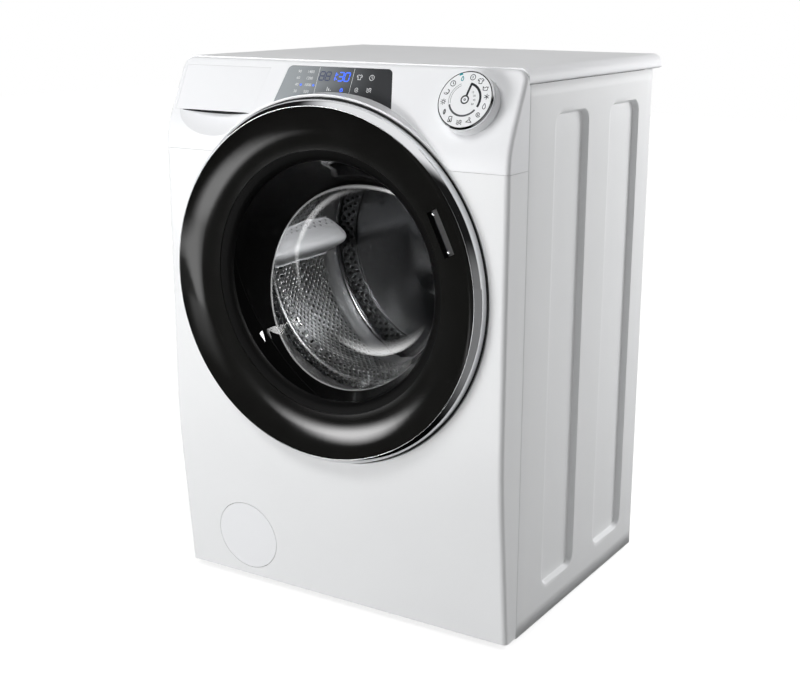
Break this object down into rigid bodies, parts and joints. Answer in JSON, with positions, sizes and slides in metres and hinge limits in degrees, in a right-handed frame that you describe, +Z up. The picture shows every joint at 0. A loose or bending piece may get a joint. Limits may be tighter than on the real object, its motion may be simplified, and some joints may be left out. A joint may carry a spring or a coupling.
{
  "type": "washer dryer",
  "caption": "Free-standing front-loading washer dryer with a large round door, hollow black door rim, chrome ring, sloping control panel with display and dial, drawer and filter flap.",
  "frame": {"origin": "on the floor, in the middle of the box round the whole machine", "axes": "+X to the right seen from the front, +Y to the back, +Z up; the door faces -Y"},
  "size_m": [0.6, 0.552, 0.85],
  "materials": {
    "white_enamel": "gloss",
    "white_plastic": "gloss",
    "black_plastic": "high gloss",
    "chrome": "polished",
    "bowl_glass": "clear",
    "display": "smoked",
    "grey_rubber": "matt",
    "black_rubber": "matt",
    "grey_plastic": "moulded",
    "dark_plastic": "moulded",
    "steel": "satin",
    "zinc_steel": "zinc plated",
    "cast_aluminium": "as cast",
    "concrete": "cast"
  },
  "bodies": {
    "cabinet": {"side_panel_left": "white_enamel", "side_panel_right": "white_enamel", "base_pan": "zinc_steel", "feet": "black_rubber", "front_panel": "white_enamel", "fascia": "white_plastic", "display_lens": "display", "control_board": "dark_plastic", "worktop": "white_plastic", "cross_rails": "zinc_steel", "rear_panel": "zinc_steel", "rear_cover": "grey_plastic", "transit_caps": "grey_plastic", "mains_gland": "dark_plastic", "dispenser_housing": "grey_plastic", "hinge_bracket": "zinc_steel", "door_lock": "dark_plastic", "gasket": "grey_rubber", "springs": "zinc_steel", "damper_cylinders": "dark_plastic", "fill_hose": "black_rubber", "sump_hose": "black_rubber", "drain_pump": "grey_plastic", "inlet_valve": "grey_plastic", "inlet_hose": "black_rubber"},
    "tub": {"tub_front": "grey_plastic", "tub_rear": "grey_plastic", "drum_bearings": "zinc_steel", "motor": "cast_aluminium", "drive_belt": "black_rubber", "counterweight": "concrete", "wash_heater": "steel", "damper_rods": "zinc_steel", "drying_duct": "grey_plastic", "air_heater": "cast_aluminium", "fan_housing": "grey_plastic"},
    "drum": {"drum_shell": "steel", "drum_front": "steel", "drum_back": "steel", "lifters": "grey_plastic", "drum_spider": "cast_aluminium", "drum_shaft": "steel", "drum_pulley": "cast_aluminium"},
    "motor_rotor": {"motor_pulley": "zinc_steel"},
    "fan": {"fan_wheel": "cast_aluminium"},
    "impeller": {"pump_impeller": "grey_plastic"},
    "door": {"door_bezel": "black_plastic", "chrome_ring": "chrome", "door_glass": "bowl_glass", "door_frame": "black_plastic", "hinge_leaf": "zinc_steel"},
    "handle": {"door_handle": "black_plastic"},
    "latch": {"latch_hook": "dark_plastic"},
    "dial": {"dial": "white_plastic", "dial_ring": "chrome"},
    "drawer": {"drawer_front": "white_plastic", "drawer_tray": "white_plastic"},
    "flap": {"filter_flap": "white_plastic"},
    "filter": {"filter_cap": "grey_plastic"}
  },
  "joints": [
    {"name": "door_hinge", "type": "hinge", "parent": "cabinet", "child": "door", "pos_m": [-0.262, -0.262, 0.528], "axis": [0, 0, -1], "range_deg": [0, 115]},
    {"name": "handle_pull", "type": "hinge", "parent": "door", "child": "handle", "pos_m": [0.20591, -0.2545, 0.62843], "axis": [-0.4384, 0, 0.8988], "range_deg": [0, 20], "stiffness_Nm_per_rad": 0.4},
    {"name": "latch_turn", "type": "hinge", "parent": "door", "child": "latch", "pos_m": [0.232, -0.2493, 0.528], "axis": [0, 0, 1], "range_deg": [0, 12]},
    {"name": "dial_turn", "type": "hinge", "parent": "cabinet", "child": "dial", "pos_m": [0.226, -0.2258, 0.79913], "axis": [0, -0.8988, 0.4384], "continuous": true},
    {"name": "drawer_slide", "type": "slide", "parent": "cabinet", "child": "drawer", "axis": [0, -1, 0], "range_m": [0, 0.17]},
    {"name": "flap_hinge", "type": "hinge", "parent": "cabinet", "child": "flap", "pos_m": [-0.174, -0.22879, 0.0263], "axis": [1, 0, 0], "range_deg": [0, 90]},
    {"name": "filter_turn", "type": "hinge", "parent": "cabinet", "child": "filter", "pos_m": [-0.174, -0.204, 0.084], "axis": [0, -1, 0], "range_deg": [0, 150]},
    {"name": "tub_bounce", "type": "slide", "parent": "cabinet", "child": "tub", "axis": [0, 0, 1], "range_m": [-0.006, 0.006], "stiffness_N_per_m": 20000, "springref_m": 0.01294, "deforming": ["springs", "fill_hose", "sump_hose"]},
    {"name": "drum_spin", "type": "hinge", "parent": "tub", "child": "drum", "pos_m": [0, 0, 0.528], "axis": [0, 1, 0], "continuous": true},
    {"name": "motor_spin", "type": "hinge", "parent": "tub", "child": "motor_rotor", "pos_m": [0, 0.2, 0.165], "axis": [0, 1, 0], "continuous": true},
    {"name": "fan_spin", "type": "hinge", "parent": "tub", "child": "fan", "pos_m": [0.214, -0.08, 0.756], "axis": [0, 1, 0], "continuous": true},
    {"name": "pump_spin", "type": "hinge", "parent": "cabinet", "child": "impeller", "pos_m": [-0.174, -0.07, 0.084], "axis": [0, 1, 0], "continuous": true}
  ],
  "couplings": [
    {"joint": "latch_turn", "follows": "handle_pull", "ratio": 0.6},
    {"joint": "motor_spin", "follows": "drum_spin", "ratio": 12.727}
  ]
}
